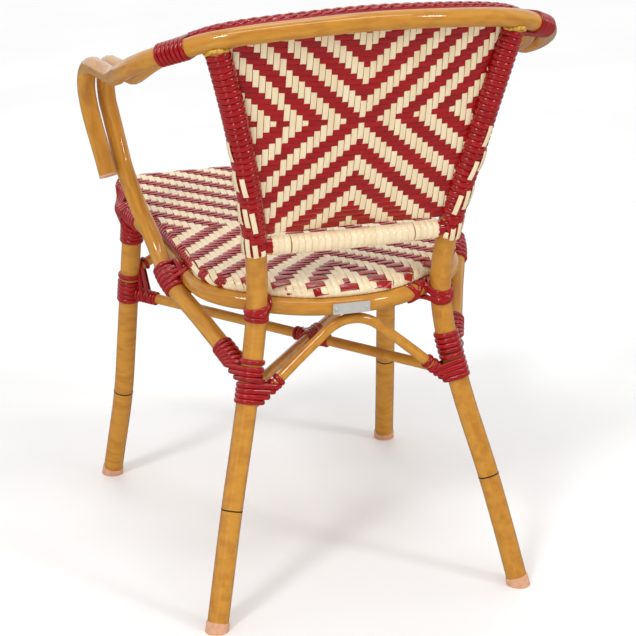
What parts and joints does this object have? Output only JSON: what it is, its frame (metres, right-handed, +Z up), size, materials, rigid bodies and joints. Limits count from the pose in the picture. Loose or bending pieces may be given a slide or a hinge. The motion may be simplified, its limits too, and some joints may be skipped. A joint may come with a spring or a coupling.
{
  "type": "rattan bistro armchair",
  "caption": "Cafe armchair of bent tubes with a bamboo finish, a hooped crest rail with open arms, and a woven seat and back bound with wound strands.",
  "frame": {"origin": "on the floor, in the middle of the chair's box seen from above", "axes": "+Z up, the sitter faces -Y, the sitter's left arm is on +X"},
  "size_m": [0.5952, 0.5748, 0.8047],
  "materials": {
    "bamboo_finish": "satin, bamboo grain",
    "cream_strand": "satin",
    "red_strand": "semi-gloss",
    "cap_plastic": "satin",
    "plain_tube": "mill",
    "plate_metal": "brushed"
  },
  "bodies": {
    "root": {"crest_rail": "bamboo_finish", "crossing_wrap": "red_strand", "front_arch_brace": "bamboo_finish", "front_half_stretcher": "bamboo_finish", "inner_hoop": "bamboo_finish", "left_arm_cap": "cap_plastic", "left_arm_wrap": "red_strand", "left_front_corner_wrap": "red_strand", "left_front_foot_cap": "cap_plastic", "left_front_joint_wrap": "red_strand", "left_front_leg": "bamboo_finish", "left_plate_rivet": "plate_metal", "left_post_winding": "red_strand", "left_rear_foot_cap": "cap_plastic", "left_rear_joint_wrap": "red_strand", "left_rear_leg": "bamboo_finish", "left_seat_side_wrap": "red_strand", "lower_back_rail": "bamboo_finish", "name_plate": "plate_metal", "rail_winding": "cream_strand", "rear_arch_brace": "bamboo_finish", "rear_half_stretcher": "bamboo_finish", "right_arm_cap": "cap_plastic", "right_arm_wrap": "red_strand", "right_front_corner_wrap": "red_strand", "right_front_foot_cap": "cap_plastic", "right_front_joint_wrap": "red_strand", "right_front_leg": "bamboo_finish", "right_plate_rivet": "plate_metal", "right_post_winding": "red_strand", "right_rear_foot_cap": "cap_plastic", "right_rear_joint_wrap": "red_strand", "right_rear_leg": "bamboo_finish", "right_seat_side_wrap": "red_strand", "seat_frame": "plain_tube", "seat_ring": "bamboo_finish", "through_stretcher": "bamboo_finish", "woven_back": "cream_strand", "woven_seat": "cream_strand"}
  },
  "joints": []
}
